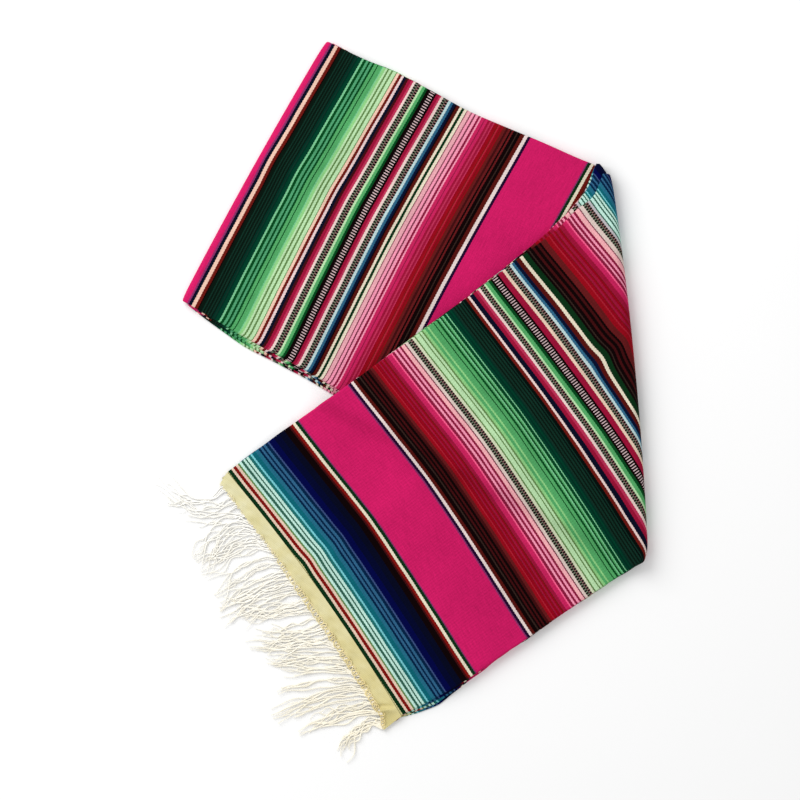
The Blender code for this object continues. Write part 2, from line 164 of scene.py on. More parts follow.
lower = Arm(LOWER, (-3, 8), 0.42, LOWER_CREASES)

# A slice across an arm: the face of the pile, the heart its plies lie towards, the same slice on the cloth
# laid out flat, its width and the steps of its edges. In an inner one, the face is that of the hidden plies.
Slice = namedtuple("Slice", "face heart laid width steps inner")
# A closed round of a slice: its points, the same laid out on the cloth and as (width, depth), and their plies
Round = namedtuple("Round", "points laid flat plies")


def corner_round(across, least=FOLD_CORNER, reach=CORNER_REACH):
    inside = min(max(min(across, 1 - across), 0) / reach, 1)
    return least + (1 - least) * math.sqrt(1 - (1 - inside) ** 2)


def place(piece, width_at, depth):
    """The point of a slice at a width from its near edge and a depth under the pile's face."""
    face, heart = piece.face(width_at / piece.width), piece.heart(width_at / piece.width)
    reach = np.linalg.norm(heart - face)
    if piece.inner:
        depth = (depth - SKIN) / (STACK - SKIN) * reach
    elif depth > PAIR:
        depth = PAIR + (depth - PAIR) / (STACK - PAIR) * (reach - PAIR)
    return face + (heart - face) / reach * depth


def round_of(piece, front, back):
    """A round from its front and its back, each near to far, as (width, depth, ply)."""
    spots = front + back[::-1]
    points = [place(piece, width_at, depth) for width_at, depth, ply in spots]
    laid = []
    for width_at, depth, ply in spots:
        over = -depth if width_at < piece.width / 2 else depth
        laid.append(piece.laid((width_at + over) / piece.width))
    flat = [(width_at, depth) for width_at, depth, ply in spots]
    return Round(points, laid, flat, [ply for width_at, depth, ply in spots])


# Rolled rim of a ply, from its turned-down edge up to its face: how far in and how deep, mm
RIM_OUTSIDE = ((0.6, 2.8), (0.15, 2.3), (0.0, 1.7), (0.15, 1.1), (0.6, 0.6), (1.3, 0.25), (2.4, 0.06))
RIM_INSIDE = ((1.7, 2.8), (1.5, 2.2), (1.7, 1.75), (2.3, 1.5), (3.1, 1.32))


def face_columns(piece, count):
    first, last = piece.steps[0] + EDGE, piece.width - piece.steps[1] - EDGE
    return [first + (last - first) * k / count for k in range(count + 1)]


def outer_ply(piece):
    near, far = piece.steps[0], piece.width - piece.steps[1]
    columns = face_columns(piece, COLUMNS)
    front = [(near + inset * MM, depth * MM, 0) for inset, depth in RIM_OUTSIDE]
    front += [(column, 0, 0) for column in columns]
    front += [(far - inset * MM, depth * MM, 0) for inset, depth in reversed(RIM_OUTSIDE)]
    back = [(near + inset * MM, depth * MM, 0) for inset, depth in RIM_INSIDE]
    back += [(column, PLY, 0) for column in columns[::2]]
    back += [(far - inset * MM, depth * MM, 0) for inset, depth in reversed(RIM_INSIDE)]
    return round_of(piece, front, back)


def lower_flat(along):
    return Slice(
        lambda a: raised(lower.plan(along, a), STACK + lower.relief(along, a)),
        lambda a: raised(lower.plan(along, a), 0),
        lambda a: lower.plan(along, a),
        lower.width(along), lower.steps(along), False,
    )


def lower_end(angle):
    """Round the doubled end, at an angle up from level."""
    turn = math.radians(angle)
    unrolled = (END_ROUND + STACK / 2) / 2 * (math.pi / 2 - turn)

    def face(across):
        out = -lower.axis * END_ROUND * corner_round(across) * math.cos(turn)
        return raised(lower.plan(0, across) + out, STACK / 2 * (1 + math.sin(turn)))

    return Slice(
        face,
        lambda a: raised(lower.plan(0, a), STACK / 2),
        lambda a: lower.plan(0, a) - lower.axis * unrolled,
        lower.width(0), lower.steps(0), False,
    )


# How the weft lines lie: where they are counted from, which way along and across the strip, and how far they
# lean along it in mm, in rows evenly spaced along it and columns evenly spaced across it
Lines = namedtuple("Lines", "corner along across length width lean kinks shifts turn_back")
# A crease along the strip that pulls the lines aside: where across it lies, its reach and pull in mm, and the
# places along the strip where it pulls in full and not at all
Kink = namedtuple("Kink", "at reach pull full none")
LOWER_LEAN = (
    (2.4, 0.7, 0.2, 1.4, 3.2),
    (1.8, 0.3, -0.2, 2.2, 5.8),
    (2.0, 0.5, 0.9, 4.7, 9.1),
    (1.8, 0.4, 1.1, 4.4, 7.5),
    (0.7, -0.2, 0.2, 2.4, 3.6),
    (0.2, -0.2, 0, 1.5, 2.5),
)
lower_lines = Lines(
    corner=np.array([-97.6, 451.1]) * MM,
    along=np.array([0.874, -0.485]),
    across=np.array([-0.485, -0.874]),
    length=375 * MM,
    width=380 * MM,
    lean=[np.array(row) * MM for row in LOWER_LEAN],
    kinks=(Kink(160, 25, -1.3, 0, 260), Kink(384, 10, -4, 70, 30)),
    shifts=(0, -15 * MM, -23 * MM, -9 * MM, 19 * MM),  # how far each deeper ply's stripes are out of step
    turn_back=458 * MM,  # past here the weaver's order runs back
)


def on_stripes(lines, laid, ply):
    """(run, across) of a spot of laid-out cloth, the run counted in the stripes' own order."""
    offset = laid - lines.corner
    run, across = float(offset @ lines.along), float(offset @ lines.across)
    share = min(max(run / lines.length, 0), 1)
    row = through(lines.lean, share)
    lean = through(list(row), min(max(across / lines.width, 0), 1))
    for kink in lines.kinks:
        pull = kink.pull * MM * smooth(run, kink.none * MM, kink.full * MM)
        lean += pull * swell(across, kink.at * MM, kink.reach * MM)
    run += lines.shifts[ply] - lean
    return (run if run < lines.turn_back else 2 * lines.turn_back - run), across


FLAT_STRETCH = 4  # depths count for this much more than widths where an end is closed
SHARP_ANGLE = math.radians(50)


def close_end(body, verts, flat):
    """Closes an open end with small triangles, found on the slice laid flat."""
    spots = [Vector((width_at, depth * FLAT_STRETCH)) for width_at, depth in flat]
    inside_only, too_near = 1, 1e-9
    made = delaunay_2d_cdt(spots, [], [list(range(len(spots)))], inside_only, too_near)
    for face in made[2]:
        body.faces.new([verts[made[3][corner][0]] for corner in face])


def bridge(body, first, second):
    """The faces between two closed rings of as many corners."""
    count = len(first)
    pairs = [(k, (k + 1) % count) for k in range(count)]
    return [body.faces.new((first[k], first[after], second[after], second[k])) for k, after in pairs]


def finished_object(name, body, material, replaced):
    """An object of a closed body, its faces turned outwards, in the place of its solid if it has one."""
    bmesh.ops.recalc_face_normals(body, faces=body.faces)
    if body.calc_volume(signed=True) < 0:
        bmesh.ops.reverse_faces(body, faces=body.faces)
    mesh = bpy.data.meshes.new(name)
    body.to_mesh(mesh)
    body.free()
    mesh.shade_smooth()
    mesh.set_sharp_from_angle(angle=SHARP_ANGLE)
    mesh.materials.append(material)
    made = bpy.data.objects.new(name, mesh)
    bpy.context.scene.collection.objects.link(made)
    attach(made, "root")
    if replaced:
        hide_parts(replaced)
    return made


def woven_object(name, rounds, lines, material, replaced):
    """A closed body through rounds of equal length, its UV map laid along the weft lines."""
    body = bmesh.new()
    weave = body.loops.layers.uv.new("weave")
    grid = [[body.verts.new(tuple(point)) for point in ring.points] for ring in rounds]
    count = len(grid[0])
    spots = []
    for ring in rounds:
        starts = [on_stripes(lines, ring.laid[k], ring.plies[k]) for k in range(count)]
        ends = []
        for k in range(count):
            after = (k + 1) % count
            same = ring.plies[k] == ring.plies[after]
            ends.append(starts[after] if same else on_stripes(lines, ring.laid[after], ring.plies[k]))
        spots.append((starts, ends))
    for row, (first, second) in enumerate(zip(grid, grid[1:])):
        for k, face in enumerate(bridge(body, first, second)):
            at = (spots[row][0][k], spots[row][1][k], spots[row + 1][1][k], spots[row + 1][0][k])
            for loop, spot in zip(face.loops, at):
                loop[weave].uv = spot
    close_end(body, grid[0], rounds[0].flat)
    close_end(body, grid[-1], rounds[-1].flat)
    return finished_object(name, body, material, replaced)


# Yarn colours
YARNS = dict(
    wheat="#d8d096", pink="#d11d64", violet="#883268", indigo="#22062e", night="#090d24", peach="#f0c6b2",
    blood="#6c1812", pine_black="#07170f", pine_line="#0f3025", deep_green="#003c28", deeper_green="#002e22",
    bright_green="#7ac692", fern="#50a070", dark_green="#04481e", mid_green="#54a866", light_green="#90d086",
    pale_green="#bce2b0", olive="#64884e", lilac_white="#e8cccc", black="#0e0304", dark_brown="#400e10",
    brown="#641a1c", crimson="#9c1438", rose="#bb3156", white_pink="#ecd2cc", aqua_white="#bed8d8",
    blue="#2e6484", navy="#061230", brick="#561410", cream="#e9dec6", bottle="#0a3016", pale_pink="#ecaab4",
    blush="#f8b2b8", mauve="#7a3247", light_pink="#f89ab6", hot_pink="#fa6090", magenta="#c8245c",
    wine="#8c1a3e", red="#960a1a", red_line="#aa2234", deep_red="#92041a", white="#ead8d4",
    cream_pink="#e9cdb8", hem_red="#80120e", mint="#c4ecde", teal_grey="#326352", sea="#1f6e6c",
    aqua="#78ccd4", teal="#0e6674", blue_teal="#266c86", deep_blue="#032244", steel="#316388",
    dusk="#3c5080", navy_blue="#020644", navy_deep="#03072c", blue_black="#050820", moss="#33231e",
    sand="#d4dcbb", pink_cream="#e0ccc3", green_black="#040e0b", lilac_grey="#c0bcc0",
)
# Yarns that change with black along the line, and at which part of their beat: the checks and the ladder
DASHES = dict(check="#7c8872", check_next="#966f6c", ladder="#d8bcbe")
DASH_PHASE = dict(check=0, check_next=0.5, ladder=0.25)
DASH_BLACK = "#100808"

# The stripes in their order along the arm, each yarn and the place in mm where it ends
LOWER_STRIPES = """
pink 6 violet 8 night 12.2 peach 16.8 blood 20.6 black 22 pine_black 26.6 pine_line 28 pine_black 30.2
pine_line 31.7 pine_black 34 pine_line 35.6 pine_black 37.7 pine_line 39.4 pine_black 41 deeper_green 43
pine_line 44.6 deeper_green 46 deep_green 51 bright_green 53.6 dark_green 57 fern 60 dark_green 62.8
fern 65.6 dark_green 68 mid_green 72 dark_green 73.1 mid_green 78.7 bright_green 80.2 light_green 83.5
pale_green 85.6 olive 88 pale_green 91 olive 93 pale_green 97.2 olive 98.6 peach 102 blood 105.2
lilac_white 108.2 night 112 dark_brown 115 crimson 119 rose 122 white_pink 125 check 128.7 check_next 132.5
pale_green 135 mid_green 139 dark_green 142 black 146.4 ladder 152.6 black 155 crimson 159 rose 161.7
white_pink 165 check 168.7 check_next 172.6 aqua_white 176 blue 179.3 navy 183 black 184.5 brick 188.8
cream 191.8 bottle 195.2 cream 198.8 mauve 200 pale_pink 204.8 mauve 206.2 light_pink 209.7 mauve 211.5
light_pink 214.8 wine 217.7 light_pink 219.6 magenta 224 wine 225 magenta 228.6 crimson 231.5 rose 233.4
crimson 236.4 rose 237.8 deep_red 238.8 red 242.6 blood 243.4 red_line 245.2 deep_red 247.2 blood 248
deep_red 250.2 blood 251.4 brown 254 dark_brown 257 brown 259.5 black 262 brown 264.3 black 268.3 moss 269.6
black 273.8 brick 278.8 white 283 indigo 286.8 pink 365.4 violet 366.4 bottle 370.4 cream 374.2 blood 379.5
black 384 blue_black 396 navy_deep 404 navy_blue 411 dusk 412.5 deep_blue 416 steel 418.5 deep_blue 421.5
steel 424 deep_blue 427 blue_teal 431 teal 436.5 aqua 438.5 sea 442.5 mint 445 teal_grey 447 mint 450
teal_grey 452.5 mint 460
"""

YARN = 0.95 * MM  # one weft line
WARP_BEAT = 3.6 * MM  # one over and one under of the warp, across the strip
RAMP_STOPS = 30  # a colour ramp holds 32 at most
WOBBLE = 0.22 * MM  # how far a line swings as it passes over and under the warp
DRIFT = 0.9 * MM  # the span that it strays over
BLACK_ABOVE = -0.4  # where a beat's sine is above this, checks and ladder are black
PLAIN = 0.9  # a plain yarn's mark is 1, a dashed one's is its phase

# How fast the unevenness of the yarn changes along the run and across it, per metre
DRIFT_SCALES = (90, 25)
STREAK_SCALES = (1100, 60)
TUFT_SCALES = (420, 420)
WORN_SCALES = (14, 11)
MEAN_SHADE = 0.82  # of the yarn's colour
WEFT_SKEW = 1.2  # how far the beat of the warp shifts the weft's ribs, in radians


def paint(code):
    """A colour node's value from the eye's own hex code."""
    parts = [int(code[k : k + 2], 16) / 255 for k in (1, 3, 5)]
    return [p / 12.92 if p < 0.04045 else ((p + 0.055) / 1.055) ** 2.4 for p in parts] + [1]


def fill(node, **values):
    """Sets inputs of a node by their names, with _ for a space."""
    for name, value in values.items():
        node.inputs[name.replace("_", " ")].default_value = value


class Nodes:
    """The nodes of one material."""

    def __init__(self, name):
        self.material = bpy.data.materials.new(name)
        self.material.use_nodes = True
        self.tree = self.material.node_tree
        self.shader = self.tree.nodes["Principled BSDF"]

    def link(self, value, socket):
        if isinstance(value, bpy.types.NodeSocket):
            self.tree.links.new(value, socket)
        else:
            socket.default_value = value

    def add(self, kind, **settings):
        made = self.tree.nodes.new("ShaderNode" + kind)
        for key, value in settings.items():
            setattr(made, key, value)
        return made

    def math(self, operation, first, second=0.0):
        made = self.add("Math", operation=operation)
        self.link(first, made.inputs[0])
        self.link(second, made.inputs[1])
        return made.outputs[0]

    def times(self, first, second):
        return self.math("MULTIPLY", first, second)

    def plus(self, first, second):
        return self.math("ADD", first, second)

    def mix(self, share, first, second, blend="MIX"):
        made = self.add("Mix", data_type="RGBA", blend_type=blend)
        self.link(share, made.inputs["Factor"])
        self.link(first, made.inputs[6])
        self.link(second, made.inputs[7])
        return made.outputs[2]

    def spread(self, value, low, high, to_low, to_high):
        made = self.add("MapRange")
        for socket, given in zip(made.inputs, (value, low, high, to_low, to_high)):
            self.link(given, socket)
        return made.outputs[0]

    def noise(self, vector, scale, detail):
        made = self.add("TexNoise")
        self.link(vector, made.inputs["Vector"])
        fill(made, Scale=scale, Detail=detail)
        return made.outputs["Fac"]

    def vector(self, x, y, z=0.0):
        made = self.add("CombineXYZ")
        for socket, value in zip(made.inputs, (x, y, z)):
            self.link(value, socket)
        return made.outputs[0]

    def cloth_noise(self, run, across, scales, detail=2):
        """Noise on the laid-out cloth, stretched by its scales along the run and across it."""
        stretched = self.vector(self.times(run, scales[0]), self.times(across, scales[1]))
        return self.noise(stretched, 1, detail)

    def bump(self, height, strength, distance):
        made = self.add("Bump")
        fill(made, Strength=strength, Distance=distance)
        self.link(height, made.inputs["Height"])
        self.link(made.outputs[0], self.shader.inputs["Normal"])


def stripe_rows(chart):
    """(start, yarn) of each stripe, the start in mm."""
    words = chart.split()
    ends = [float(end) for end in words[1::2]]
    return list(zip([0.0] + ends[:-1], words[0::2]))


def striped_cloth(name, chart):
    """Woven stripes, read from the piece's UV map in metres."""
    nodes = Nodes(name)
    uv = nodes.add("UVMap", uv_map="weave")
    split = nodes.add("SeparateXYZ")
    nodes.link(uv.outputs[0], split.inputs[0])
    run, across = split.outputs[0], split.outputs[1]
    beat = nodes.times(across, 2 * math.pi / WARP_BEAT)
    swing = nodes.times(nodes.math("SINE", beat), WOBBLE)
    unevenness = nodes.cloth_noise(run, across, DRIFT_SCALES)
    drift = nodes.times(nodes.math("SUBTRACT", unevenness, 0.5), DRIFT)
    place_on = nodes.plus(nodes.plus(run, swing), drift)

    rows = stripe_rows(chart)
    colour, plain = None, None
    for start in range(0, len(rows), RAMP_STOPS):
        part = rows[start : start + RAMP_STOPS]
        low, high = part[0][0] * MM, (part[-1][0] + 1) * MM
        ramp = nodes.add("ValToRGB")
        ramp.color_ramp.interpolation = "CONSTANT"
        stops = ramp.color_ramp.elements
        stops.remove(stops[1])
        for index, (begins, yarn) in enumerate(part):
            spot = (begins * MM - low) / (high - low)
            stop = stops[0] if index == 0 else stops.new(spot)
            stop.position = spot
            stop.color = paint(DASHES.get(yarn) or YARNS[yarn])
            stop.alpha = DASH_PHASE.get(yarn, 1)
        nodes.link(nodes.spread(place_on, low, high, 0.0, 1.0), ramp.inputs[0])
        if colour is None:
            colour, plain = ramp.outputs[0], ramp.outputs[1]
        else:
            reached = nodes.math("GREATER_THAN", place_on, low)
            colour = nodes.mix(reached, colour, ramp.outputs[0])
            change = nodes.times(nodes.math("SUBTRACT", ramp.outputs[1], plain), reached)
            plain = nodes.plus(plain, change)

    turned = nodes.times(plain, 2 * math.pi)
    under = nodes.math("GREATER_THAN", nodes.math("SINE", nodes.plus(beat, turned)), BLACK_ABOVE)
    dashed = nodes.times(nodes.math("LESS_THAN", plain, PLAIN), under)
    colour = nodes.mix(dashed, colour, paint(DASH_BLACK))

    # Each pass of the weft took the dye and the light a little differently.
    streaks = nodes.cloth_noise(run, across, STREAK_SCALES, 3)
    tufts = nodes.cloth_noise(run, across, TUFT_SCALES, 3)
    worn = nodes.cloth_noise(run, across, WORN_SCALES)
    streaked = nodes.spread(streaks, 0.25, 0.75, -0.13, 0.13)
    shade = nodes.plus(streaked, nodes.spread(tufts, 0.3, 0.7, -0.07, 0.07))
    shade = nodes.plus(nodes.plus(shade, nodes.spread(worn, 0.3, 0.7, -0.06, 0.06)), MEAN_SHADE)
    tone = nodes.vector(shade, shade, shade)
    colour = nodes.mix(1.0, colour, tone, "MULTIPLY")
    nodes.link(colour, nodes.shader.inputs["Base Color"])

    skew = nodes.times(nodes.math("SINE", beat), WEFT_SKEW)
    line = nodes.plus(nodes.times(run, 2 * math.pi / YARN), skew)
    weft = nodes.times(nodes.math("SINE", line), 0.5)
    ribs = nodes.plus(nodes.math("SINE", beat), weft)
    height = nodes.plus(ribs, nodes.times(tufts, 1.6))
    nodes.bump(height, strength=0.55, distance=0.16 * MM)
    fill(nodes.shader, Roughness=0.86, Sheen_Weight=0.01, Specular_IOR_Level=0.02)
    return nodes.material


END_ANGLES = [-80 + 154 * k / 15 for k in range(16)]  # from under the doubled end up to its face
ALONG = [k / ROWS for k in range(ROWS + 1)]
lower_stripes = striped_cloth("striped_wool_lower", LOWER_STRIPES)
lower_cloth = woven_object(
    "lower_cloth",
    [outer_ply(lower_end(angle)) for angle in END_ANGLES] + [outer_ply(lower_flat(share)) for share in ALONG],
    lower_lines, lower_stripes, "lower_panel",
)

# Hidden plies of the lower arm
# Seven more plies of the same cloth lie under it, two by two. Their folded edges show as a stack of rolls
# along the strip, stepped out at the lower edge, each with its stripes out of step.

# The rolled edge of a pair, as mm in and the share of its depth
PAIR_EDGE = (
    (2.6, 0.02), (1.3, 0.07), (0.55, 0.17), (0.12, 0.33),
    (0.0, 0.5), (0.12, 0.67), (0.55, 0.83), (1.3, 0.94),
)
LAYERS_INSET = 2 * MM
HIDDEN_COLUMNS = 28
NEAR_STEP_SHAPE = 0.12  # below 1, the second ply takes most of the step at the near edge
NOSE_CORNER = 0.2
NOSE_ANGLES = (82, 70, 58, 45, 32, 18, 6)
LAYERS_START = 0.012  # share of the arm where the nose gives way to the flat plies
EDGE_WANDER = 0.45  # mm


def uneven(pair, along, side):
    """How far a pair's edge wanders out, mm: never the same twice."""
    wave = math.sin(along * 31 + pair * 2.1 + side * 4) + 0.6 * math.sin(along * 71 + pair * 5.3 + side)
    return EDGE_WANDER * wave * MM


def hidden_plies(piece, along):
    near, far = piece.steps[0], piece.width - piece.steps[1]
    narrower = LAYERS_INSET if piece.inner else 0
    columns = face_columns(piece, HIDDEN_COLUMNS)
    front = [(near + LAYERS_INSET, PAIR, 0), (near + LAYERS_INSET, SKIN + SEAM, 0)]
    front += [(column, SKIN, 0) for column in columns]
    front += [(far - LAYERS_INSET, SKIN + SEAM, 0), (far - LAYERS_INSET, PAIR, 0)]
    pairs = round(STACK / PAIR)
    near_side, far_side = [], []
    for pair in range(1, pairs):
        out = pair / (pairs - 1)
        near_out = out**NEAR_STEP_SHAPE
        for inset, share in PAIR_EDGE:
            depth = PAIR * (pair + share)
            near_at = near - piece.steps[0] * near_out + inset * MM + narrower - uneven(pair, along, 0) * out
            far_at = far + piece.steps[1] * out - inset * MM - narrower + uneven(pair, along, 1) * out
            near_side.append((near_at, depth, pair))
            far_side.append((far_at, depth, pair))
    back = near_side + [(column, STACK, 0) for column in columns] + far_side[::-1]
    return round_of(piece, front, back)


def lower_nose(angle):
    """The hidden plies just inside the doubled end, as a rounded nose."""
    turn = math.radians(angle)
    half, reach = STACK / 2 - SKIN - 2 * SEAM, END_ROUND - SKIN - 4 * SEAM

    def nose(across, side):
        out = -lower.axis * reach * corner_round(across, NOSE_CORNER) * math.sin(turn)
        return raised(lower.plan(0, across) + out, STACK / 2 + side * half * math.cos(turn))

    return Slice(
        lambda a: nose(a, 1), lambda a: nose(a, -1), lambda a: lower.plan(0, a),
        lower.width(0), lower.steps(0), True,
    )


lower_plies = woven_object(
    "lower_plies",
    [hidden_plies(lower_nose(angle), 0) for angle in NOSE_ANGLES]
    + [hidden_plies(lower_flat(share), share) for share in [LAYERS_START] + ALONG[2:]],
    lower_lines, lower_stripes, "lower_layers",
)

# Striped cloth of the upper arm
# The same strip, turned back over itself by one diagonal fold at the right. Its outermost ply comes up round
# the fold, lies over the lower arm, and comes down past that arm's edge to the hem.
HEM_STACK = 6 * MM  # the pile is thinner at the hem
FOLD_ROUND = 11 * MM  # how far the diagonal fold rounds out
PILE = STACK + SEAM
SLOPE_START = 4 * MM  # past the lower arm's edge, where the upper one starts down and where it is down
SLOPE_END = 30 * MM
THIN_SHARE = 0.3  # share of the arm over which the pile thins towards the hem
UPPER = (
    (-217, -91, 6, -404, 0, 4),
    (-156, -46, 46, -389, 0, 9),
    (-95, -3, 84, -361, 0, 4),
    (-34, 41, 123, -331, 0, 2),
    (25, 85, 161, -305, 1, 1),
    (86, 130, 199, -278, 1, 1),
    (147, 178, 238, -252, 2, 1),
    (206, 230, 271, -230, 7, 1),
    (256, 289, 304, -209, 2, 1),
)
# Near the fold the second ply comes free of the first: how far the first lies back from its row, about
# which share along, and how far the second's corner spreads out
LAID_BACK = 12 * MM
LAID_BACK_AT, LAID_BACK_REACH = 0.955, 0.035
SPREAD_OUT = np.array([-7.5, 9, 0]) * MM
SPREAD_START = 0.92
SPREAD_DEPTH = (0.0015, 0.009)  # shares in from the near edge, where it is full and gone
FAR_CORNER, FAR_CORNER_REACH = 0.05, 0.06  # the fold is tighter at its far end
UPPER_CREASES = (
    (30, -120, 120, -60, 0.5, 10),
    (-60, -210, 20, -160, -0.4, 12),
    (150, 60, 240, 110, 0.4, 12),
    (60, 40, 160, 110, -0.4, 14),
    (-10, -340, 60, -310, 0.7, 8),
    (20, -372, 40, -330, -0.7, 6),
    (-120, -120, -60, -76, 0.4, 9),
    (200, -160, 270, -110, 0.5, 12),
    (180, 190, 220, 200, -0.5, 8),
    (110, -240, 190, -190, 0.5, 10),
)
upper = Arm(UPPER, (8, 8), 0.85, UPPER_CREASES)
# The lower arm's far edge, which the upper arm comes down past
EDGE_FROM = lower.rows[3][2:4]
EDGE_ALONG = unit(lower.rows[7][2:4] - EDGE_FROM)
EDGE_OUT = np.array([EDGE_ALONG[1], -EDGE_ALONG[0]])

UPPER_LEAN = (
    (-7.4, -3.6, -0.5, -1.1, -3.4, -5.8),
    (-6.2, -2.6, 1.0, -0.4, -3.5, -6.6),
    (-5.0, -1.6, 2.0, 0, -3.5, -7.4),
    (-5.6, -1.9, 1.3, -0.2, -3.6, -7.1),
    (-5.4, -2.3, 1.0, -0.3, -3.2, -6.6),
    (-5.3, -2.4, 0.8, -0.5, -3.2, -6.3),
    (-4.0, -1.8, 0.4, -0.6, -3.2, -7.1),
    (-6.9, -3.6, -1.6, -0.5, -3.0, -6.0),
    (-2.8, 2.0, 2.8, -1.4, -5.0, -8.0),
    (-2.6, 3.0, 5.4, 0, -4.0, -8.0),
    (-3.6, -1.0, 1.0, 0, -4.0, -8.0),
)
upper_lines = Lines(
    corner=np.array([-216.7, -91.2]) * MM,
    along=np.array([0.8144, 0.5803]),
    across=np.array([0.5803, -0.8144]),
    length=600 * MM,
    width=387.5 * MM,
    lean=[np.array(row) * MM for row in UPPER_LEAN],
    kinks=(Kink(157, 15, 3.4, 475, 440), Kink(151, 12, 1.2, 0, 170)),
    shifts=(0, 12 * MM, -9 * MM, 20 * MM, 6 * MM),
    turn_back=640 * MM,
)
UPPER_STRIPES = """
wheat 5.5 bottle 10.4 cream_pink 13.4 hem_red 17.4 cream_pink 20.7 olive 22.7 mint 26.2 teal_grey 29
mint 31.8 teal_grey 33.7 mint 36.6 sea 40.2 aqua 42.3 teal 48 blue_teal 52.2 deep_blue 55 steel 57.6
deep_blue 60 steel 63 deep_blue 66.7 dusk 68.3 navy_blue 76 navy_deep 84 blue_black 92 black 99.5
dark_brown 101.6 hem_red 105.4 cream 108.7 bottle 112.9 violet 114.4 pink 190.8 violet 192.4 indigo 196.2
white 199.4 brick 204 black 208.3 moss 210 black 212.7 dark_brown 214.6 black 217.3 dark_brown 219.5
black 222.6 dark_brown 226.2 brown 229.6 red 233 red_line 234.4 deep_red 237.5 blood 238.3 crimson 240.2
deep_red 242.6 blood 243.3 crimson 245.5 deep_red 247.3 blood 248 crimson 251.8 wine 252.6 magenta 258.3
hot_pink 260.2 wine 263.4 light_pink 266.4 wine 268.9 light_pink 271.9 wine 274.6 blush 279.2 mauve 280.7
pink_cream 284.4 check 288 check_next 291.6 sand 294.7 olive 296.7 pale_green 301.8 olive 303.5
pale_green 306.2 olive 308.4 light_green 311.3 mid_green 314.7 light_green 317 mid_green 323.7
dark_green 325 mid_green 328.8 dark_green 331 mid_green 332.8 bright_green 334.2 dark_green 336.2
mid_green 337.8 bright_green 339.2 dark_green 341.4 deep_green 342.8 bright_green 344.1 deep_green 347.4
deeper_green 349 deep_green 351.2 deeper_green 353 pine_line 355.2 pine_black 356.8 pine_line 359
pine_black 360.8 pine_line 363 pine_black 364.8 pine_line 367 green_black 369 pine_line 370.4
green_black 374.4 blood 378.4 white_pink 381 night 387.3 crimson 392 rose 395.4 white_pink 398.7 check 402
check_next 405.6 pale_green 408.2 mid_green 412.7 dark_green 416.6 black 419 ladder 425.8 black 428.3
crimson 435.3 cream_pink 438.7 check 442.2 check_next 445.8 aqua_white 449 blue 451.8 navy 455.8 brick 460.5
cream 464.3 bottle 471 black 473.4 moss 475.2 black 479 dark_brown 481.8 black 485.7 dark_brown 488.6
black 491.5 brown 498.5 red 503.8 red_line 505.6 deep_red 508.8 blood 509.6 crimson 512.4 deep_red 514.2
blood 515 crimson 518.5 deep_red 521.2 blood 522 crimson 527.5 magenta 533.2 hot_pink 535 wine 538.5
light_pink 540.8 wine 543.6 light_pink 546.4 wine 549.6 blush 555.4 mauve 556.8 pink_cream 562.2 check 566
check_next 569.8 lilac_grey 573 teal_grey 574.6 mint 578.4 teal_grey 580.6 mint 583.4 teal_grey 585
mint 587.2 sea 589.4 aqua 590.8 teal 594.5 blue_teal 598.5 deep_blue 601 steel 603 deep_blue 606 steel 608
deep_blue 611 dusk 612.3 navy_blue 617 navy_deep 628 blue_black 640
"""


def floor_under(point):
    """Height of what the upper arm lies on: the lower arm, or the ground past its edge."""
    past = float(np.dot(point - EDGE_FROM, EDGE_OUT))
    return PILE * (1 - smooth(past, SLOPE_START, SLOPE_END))


def upper_steps(along):
    near, far = upper.steps(along)
    return near + LAID_BACK * swell(along, LAID_BACK_AT, LAID_BACK_REACH), far


def spread_out(along, across):
    return SPREAD_OUT * smooth(along, SPREAD_START, 1) * (1 - smooth(across, *SPREAD_DEPTH))


def upper_flat(along):
    pile = HEM_STACK + (STACK - HEM_STACK) * smooth(along, 0, THIN_SHARE)

    def heart(across):
        point = upper.plan(along, across)
        return raised(point, floor_under(point)) + spread_out(along, across)

    return Slice(
        lambda a: heart(a) + np.array([0, 0, pile + upper.relief(along, a)]), heart,
        lambda a: upper.plan(along, a), upper.width(along), upper_steps(along), False,
    )


def upper_fold(angle):
    """The pile turned over the diagonal fold, its plies nested round one another."""
    turn = math.radians(angle)
    out = np.array([1.0, 0.0])
    unrolled = FOLD_ROUND * (math.pi / 2 - turn)

    def ring(across, radius, rise):
        point = upper.plan(1, across)
        middle = (floor_under(point) + STACK) / 2
        turned = raised(point + out * radius * math.cos(turn), middle + rise * math.sin(turn))
        return turned + spread_out(1, across)

    def face(across):
        middle = (floor_under(upper.plan(1, across)) + STACK) / 2
        corner = () if across < 0.5 else (FAR_CORNER, FAR_CORNER_REACH)
        return ring(across, FOLD_ROUND * corner_round(across, *corner), middle + upper.relief(1, across))

    return Slice(
        face, lambda a: ring(a, PLY / 2, PLY / 2), lambda a: upper.plan(1, a) + out * unrolled,
        upper.width(1), upper_steps(1), False,
    )


FOLD_ANGLES = [78 - 158 * k / 17 for k in range(18)]  # from the face down round the fold
upper_stripes = striped_cloth("striped_wool_upper", UPPER_STRIPES)
HEM_EDGE = 2.2 * MM  # the last weft lines of bottle green, past the first section


def past_hem(distance, height, inner):
    """A slice out past the first section, on the ground, its face at height(across)."""

    def spot(across):
        return upper.plan(0, across) - upper.axis * distance

    return Slice(
        lambda a: raised(spot(a), height(a)), lambda a: raised(spot(a), 0), spot,
        upper.width(0), upper_steps(0), inner,
    )


upper_cloth = woven_object(
    "upper_cloth",
    [outer_ply(past_hem(HEM_EDGE, lambda a: HEM_STACK + upper.relief(0, a), False))]
    + [outer_ply(upper_flat(share)) for share in ALONG]
    + [outer_ply(upper_fold(angle)) for angle in FOLD_ANGLES],
    upper_lines, upper_stripes, "upper_panel",
)

